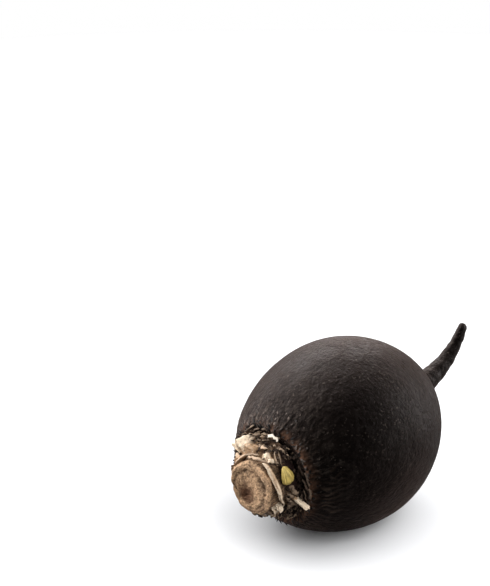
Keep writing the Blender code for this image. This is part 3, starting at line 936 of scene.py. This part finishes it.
def cork_material(crown):
    """Dry crown: a side of tan fibres and a mottled cut face.

    The side has painted shade, darkest at its foot, toward the groove and beside the ridge. The face is
    darker in its dips, its pores and its pith, and has a painted highlight where the field of painted light
    is high, with painted shade where it is low.
    """
    material, tree, shader = new_material("cut_crown", {"Roughness": 0.82, "Specular IOR Level": 0.25})
    rough, specks = grain(tree, 0.0009, 0.5)
    fibres = streaks(tree, 0.0008, 0.005)[0]
    raised, glow = field(tree, "height"), field(tree, "glow")
    cork, pith = crown.cork_colour, crown.pith_colour
    light = scaled(cork, 1.8)

    bark = plus(tree, times(tree, raised, 0.22), fibres)
    side = mix(tree, between(tree, bark, 0.34, 0.56), pith, cork)
    side = mix(tree, between(tree, bark, 0.56, 0.78), side, light)
    # Painted shade on the side: at its foot toward the groove, and in the strip beside the ridge.
    deep = times(tree, field(tree, "foot"), between(tree, field(tree, "shade"), 0.0, 0.55, 0.55, 1.0))
    side = mix(tree, between(tree, deep, 0.1, 0.9, 0.0, 0.96), side, NECK_SHADE_COLOUR)

    clouds = between(tree, noise(tree, object_place(tree), 300.0, 4.0), 0.3, 0.7, -0.32, 0.32)
    mottled = plus(tree, times(tree, raised, 0.42), rough, clouds)
    face = mix(tree, between(tree, mottled, 0.05, 0.50), scaled(cork, 0.26), cork)
    face = mix(tree, between(tree, mottled, 0.44, 0.80), face, light)
    # Painted shade where the field of painted light is below zero, and a painted highlight where it is above.
    face = mix(tree, between(tree, glow, -0.1, -0.8, 0.0, 0.75), face, scaled(pith, 1.4))
    painted_highlight = math_node(tree, "MULTIPLY", glow, between(tree, mottled, 0.0, 0.5, 0.55, 1.0), clamp=True)
    face = mix(tree, painted_highlight, face, scaled(cork, 2.1))
    face = mix(tree, times(tree, specks, 0.5), face, scaled(pith, 1.6))
    middle = plus(tree, field(tree, "ring"), times(tree, rough, 0.14))
    face = mix(tree, between(tree, middle, 0.32, 0.62), scaled(pith, 4.3), face)
    colour = mix(tree, field(tree, "cut"), side, face)
    finish_shader(tree, shader, colour, plus(tree, rough, times(tree, fibres, 1.4)), 0.0009)
    return material


def stump_material(crown):
    """Leaf stumps: brown fibres at the foot, and cream flesh with a few brown veins toward the cut."""
    material, tree, shader = new_material("leaf_stump", {"Roughness": 0.7, "Specular IOR Level": 0.3})
    rough = grain(tree, 0.0008, 0.3)[0]
    fibres = streaks(tree, 0.0007, 0.006)[0]
    cork, pith = crown.cork_colour, crown.pith_colour
    skin = mix(tree, between(tree, fibres, 0.40, 0.64), scaled(pith, 0.5), scaled(cork, 0.42))
    fresh = mix(tree, between(tree, fibres, 0.30, 0.46), cork, crown.flesh_colour)
    ripe = times(tree, field(tree, "tone"), between(tree, field(tree, "cut"), 0.0, 0.9, 0.15, 1.0))
    worn = plus(tree, ripe, times(tree, rough, 0.35))
    colour = mix(tree, between(tree, worn, 0.35, 0.62), skin, scaled(cork, 1.5))
    colour = mix(tree, between(tree, worn, 0.66, 1.0), colour, fresh)
    finish_shader(tree, shader, colour, plus(tree, rough, times(tree, fibres, 1.2)), 0.0006)
    return material


def scale_material(name, dark, pale):
    """Dry scales and flecks: papery, from a dark to a pale colour by their own tone, and then bleached."""
    material, tree, shader = new_material(name, {"Roughness": 0.75, "Specular IOR Level": 0.3})
    rough = grain(tree, 0.0006, 0.2)[0]
    tone = plus(tree, field(tree, "tone"), times(tree, rough, 0.25))
    colour = mix(tree, between(tree, tone, 0.3, 1.1), dark, pale)
    colour = mix(tree, between(tree, tone, 1.4, 2.4), colour, BLEACHED_COLOUR)
    finish_shader(tree, shader, colour, rough, 0.0002)
    return material


def bud_material(crown):
    """Bud: yellow-green with pale folds, brown at its foot."""
    material, tree, shader = new_material("green_bud", {"Roughness": 0.5})
    rough = grain(tree, 0.0007, 0.3)[0]
    fibres = streaks(tree, 0.0009, 0.004)[0]
    green = crown.bud_colour
    pale = tuple(min(1.0, 1.35 * c + 0.04) for c in green)
    colour = mix(tree, between(tree, fibres, 0.4, 0.62), scaled(green, 0.6), pale)
    colour = mix(tree, between(tree, field(tree, "size"), 0.02, 0.12), BUD_FOOT_COLOUR, colour)
    finish_shader(tree, shader, colour, plus(tree, rough, fibres), 0.00025)
    return material


def floor_material(colour):
    """Plain pale floor, fading into the white ground away from the radish.

    It is darker to light that bounces, so that the radish keeps the photograph's dark underside.
    """
    constants = {"Emission Color": (1, 1, 1, 1), "Roughness": 1.0, "Specular IOR Level": 0.0}
    material, tree, shader = new_material("pale_floor", constants)
    seen = tree.nodes.new("ShaderNodeLightPath").outputs["Is Camera Ray"]
    away = node(tree, "ShaderNodeVectorMath", {0: object_place(tree)}, operation="LENGTH").outputs["Value"]
    tree.links.new(mix(tree, seen, scaled(colour, BOUNCE), colour), shader.inputs["Base Color"])
    tree.links.new(times(tree, between(tree, away, *FLOOR_FADE), seen), shader.inputs["Emission Strength"])
    return material


# Operators


class RADISH_OT_skin(bpy.types.Operator):
    """Adds the skin of the globe and its tail, with a dense grid round the crown"""

    bl_idname = "radish.skin"
    bl_label = "Skin"

    def execute(self, context):
        root = context.scene.radish_root
        arc, angle = skin_rows(root, SKIN_RINGS)[:, None], full_turn(SKIN_ROUND)
        fields = {
            "grown": grown_place(angle, arc, 24 * MM),
            "near_crown": bell(np.maximum(arc, 0), 19 * MM),
            "crest": skin_wrinkles(arc, angle),
            "rim": bell(arc - 0.2 * MM, 2.4 * MM) * (0.6 + 0.4 * np.cos(angle - 1.7)),
        }
        skin = add_mesh("skin", on_skin(root, arc, angle), skin_material(root), fields)
        part_of(skin, "root")
        return {"FINISHED"}


class RADISH_OT_flecks(bpy.types.Operator):
    """Adds the small raised flecks that the skin peels into near the crown"""

    bl_idname = "radish.flecks"
    bl_label = "Skin flecks"

    def execute(self, context):
        root = context.scene.radish_root
        draw = np.random.default_rng(FLECK_SEED)
        count = root.fleck_count
        arc = (-1.2 + 16 * draw.uniform(0, 1, count) ** 1.7) * MM
        angle = draw.uniform(0, 2 * math.pi, count)
        angle = angle - 0.55 * np.sin(angle + 0.35)
        base, away, normal = skin_frames(root, arc, angle)
        swing = draw.normal(0, 0.35, (count, 1))
        ahead = away * np.cos(swing) + np.cross(away, normal) * np.sin(swing)
        shrink = np.interp(arc / MM, [0, 15], [1.0, 0.4]) * MM
        length = draw.uniform(0.8, 2.6, count) * shrink
        width = draw.uniform(0.5, 1.4, count) * shrink
        curl = draw.uniform(-0.1, 0.55, count)
        points = blades(base - normal * 0.12 * MM, ahead, normal, length, width, 0.22 * MM, curl)
        tone = draw.beta(1.1, 2.4, count)[:, None, None]
        finish = scale_material("dry_flecks", *FLECK_COLOURS)
        part_of(add_mesh("skin_flecks", points, finish, {"tone": tone}), "root")
        return {"FINISHED"}


class RADISH_OT_neck(bpy.types.Operator):
    """Adds the cut butt with its neck and collar"""

    bl_idname = "radish.neck"
    bl_label = "Cut neck"

    def execute(self, context):
        crown = context.scene.radish_crown
        points, fields = neck_grid(context.scene.radish_root, crown)
        part_of(add_mesh("neck", points, cork_material(crown), fields), "crown")
        return {"FINISHED"}


class RADISH_OT_stumps(bpy.types.Operator):
    """Adds the stumps of the leaf stalks, a golden angle apart"""

    bl_idname = "radish.stumps"
    bl_label = "Leaf stumps"

    def execute(self, context):
        finish = stump_material(context.scene.radish_crown)
        for number in range(len(STALKS)):
            points, fields = stump_grid(context.scene.radish_root, number)
            stump = add_mesh(f"leaf_stump_{number + 1}", points, finish, fields)
            part_of(stump, "crown")
        return {"FINISHED"}


class RADISH_OT_shreds(bpy.types.Operator):
    """Adds the dry shreds of old leaf feet that fill the gap between neck and rim"""

    bl_idname = "radish.shreds"
    bl_label = "Dry shreds"

    def execute(self, context):
        root, count = context.scene.radish_root, context.scene.radish_crown.shred_count
        draw = np.random.default_rng(SHRED_SEED)
        angle = np.arange(count) * GOLDEN_ANGLE + draw.normal(0, 0.1, count)
        groove = facing(angle, GROOVE, 4)
        radius = draw.uniform(12.4, 19.8, count)
        along = np.interp(radius, [12.4, 14.0, 16.0, 18.0, 19.8], [-48.6, -46.2, -45.0, -44.3, -43.2])
        along = along + 2.2 * groove * (radius > 15)
        lean = draw.uniform(0.1, 1.5, count)
        width = 0.5 + 1.2 * draw.uniform(0, 1, count) ** 2
        length = draw.uniform(1.2, 2.8, count) * np.sqrt(width) * (1 - 0.35 * groove)
        skew = draw.normal(0, 1.2, count) / radius
        end, end_radius = along - length * np.cos(lean), radius + 0.8 * length * np.sin(lean)
        thick, arch = draw.uniform(0.2, 0.6, count), draw.uniform(-0.2, 0.9, count)
        # Paler at random, and darker toward the groove: painted shade.
        pale = draw.beta(0.9, 2.3, count) * (1 - 0.75 * groove)
        turned, end_turned = np.degrees(angle), np.degrees(angle + skew)
        loose = [along, radius, turned, end, end_radius, end_turned, width, thick, arch, pale]
        whole = np.concatenate([np.array(SHREDS), np.stack(loose, axis=-1)]).T
        start, finish = (place(root, s * MM, r * MM, np.radians(a)) for s, r, a in (whole[:3], whole[3:6]))
        middle = place(root, (whole[0] + 6) * MM, 0, 0)
        points = shred_grids(start, finish, start - middle, *whole[6:9] * MM, draw)
        material = scale_material("dry_shreds", *SHRED_COLOURS)
        shreds = add_mesh("dry_shreds", points, material, {"tone": whole[9][:, None, None]})
        part_of(shreds, "crown")
        return {"FINISHED"}


class RADISH_OT_bud(bpy.types.Operator):
    """Adds the young yellow-green bud"""

    bl_idname = "radish.bud"
    bl_label = "Green bud"

    def execute(self, context):
        points, fields = bud_grid(context.scene.radish_root)
        bud = add_mesh("bud", points, bud_material(context.scene.radish_crown), fields)
        part_of(bud, "green_bud")
        return {"FINISHED"}


def direction(turn, tilt):
    """Unit vector at a turn round from -Y, tilted up."""
    return Vector((math.sin(turn) * math.cos(tilt), -math.cos(turn) * math.cos(tilt), math.sin(tilt)))


class RADISH_OT_studio(bpy.types.Operator):
    """Adds the floor, the soft lights and the camera"""

    bl_idname = "radish.studio"
    bl_label = "Studio"

    def execute(self, context):
        studio, root = context.scene.radish_studio, context.scene.radish_root
        globe = Vector((root.centre_ahead, 0, root.centre_height))
        self.add_camera(studio, globe)
        lit_group("floor").objects.link(self.add_floor(studio))
        for name in LIGHTS:
            self.add_light(name, getattr(studio, name), studio.azimuth, globe)
        world = bpy.data.worlds.new("studio")
        context.scene.world = world
        world.use_nodes = True
        background = world.node_tree.nodes["Background"]
        seen = world.node_tree.nodes.new("ShaderNodeLightPath").outputs["Is Camera Ray"]
        world.node_tree.links.new(seen, background.inputs["Strength"])
        background.inputs["Color"].default_value = (1, 1, 1, 1)
        context.scene.view_settings.view_transform = "Standard"
        return {"FINISHED"}

    def add_light(self, name, power, turn, aim):
        """A soft rectangle turned to its aim, kept to its group of objects."""
        aside, raised, width, height, group = LIGHTS[name]
        light = bpy.data.lights.new(name, "AREA")
        light.shape = "RECTANGLE"
        light.size, light.size_y = width, height
        light.energy = power
        toward = direction(turn + math.radians(aside), math.radians(raised))
        made = bpy.data.objects.new(name, light)
        made.location = aim + toward * LIGHT_DISTANCE
        made.rotation_mode = "QUATERNION"
        made.rotation_quaternion = toward.to_track_quat("Z", "Y")
        made.light_linking.receiver_collection = lit_group(group)
        made.visible_camera = False
        bpy.context.scene.collection.objects.link(made)

    def add_camera(self, studio, globe):
        """The camera looks level with the frame's middle, and the globe's centre shows at its pixel."""
        back = direction(studio.azimuth, studio.elevation)
        right = Vector((math.cos(studio.azimuth), math.sin(studio.azimuth), 0))
        up = back.cross(right)
        wide, high = FRAME_PIXELS
        camera = bpy.data.cameras.new("camera")
        camera.sensor_width = SENSOR
        camera.lens = studio.focal_pixels / high * camera.sensor_width
        pixel = studio.distance / studio.focal_pixels
        aside, below = (studio.globe_pixel[0] - wide / 2) * pixel, (studio.globe_pixel[1] - high / 2) * pixel
        made = bpy.data.objects.new("camera", camera)
        turned = Matrix((right, up, back)).transposed().to_4x4()
        turned.translation = globe - right * aside + up * below + back * studio.distance
        made.matrix_world = turned
        bpy.context.scene.collection.objects.link(made)
        bpy.context.scene.camera = made

    def add_floor(self, studio):
        """A wide disc at the floor's height, as rings round the radish."""
        reach, turn = np.geomspace(FLOOR_REACH, 0.1, 12)[:, None], full_turn(64)
        top = (reach * np.cos(turn), reach * np.sin(turn), FLOOR_HEIGHT)
        top = np.stack(np.broadcast_arrays(*top), axis=-1)
        points = np.concatenate([top - (0, 0, FLOOR_THICK), top])
        floor = add_mesh("floor", points, floor_material(studio.floor_colour))
        return floor


class VIEW3D_PT_radish(bpy.types.Panel):
    """Lists the radish's settings and the steps that build it"""

    bl_label = "Black radish"
    bl_space_type = "VIEW_3D"
    bl_region_type = "UI"
    bl_category = "Radish"

    def draw(self, context):
        for group in SETTINGS:
            settings = getattr(context.scene, group)
            box = self.layout.box()
            for name in settings.__annotations__:
                box.prop(settings, name)
        for step in STEPS:
            self.layout.operator(step.bl_idname)


SETTINGS = {"radish_root": RootSettings, "radish_crown": CrownSettings, "radish_studio": StudioSettings}
STEPS = (
    RADISH_OT_skin,
    RADISH_OT_flecks,
    RADISH_OT_neck,
    RADISH_OT_stumps,
    RADISH_OT_shreds,
    RADISH_OT_bud,
    RADISH_OT_studio,
)


def register():
    for kind in (*SETTINGS.values(), *STEPS, VIEW3D_PT_radish):
        bpy.utils.register_class(kind)
    for name, kind in SETTINGS.items():
        setattr(bpy.types.Scene, name, PointerProperty(type=kind))


def unregister():
    for name in SETTINGS:
        delattr(bpy.types.Scene, name)
    for kind in (VIEW3D_PT_radish, *STEPS[::-1], *SETTINGS.values()):
        bpy.utils.unregister_class(kind)


def main():
    register()
    for step in STEPS:
        module, name = step.bl_idname.split(".")
        getattr(getattr(bpy.ops, module), name)()


if __name__ == "__main__":
    main()
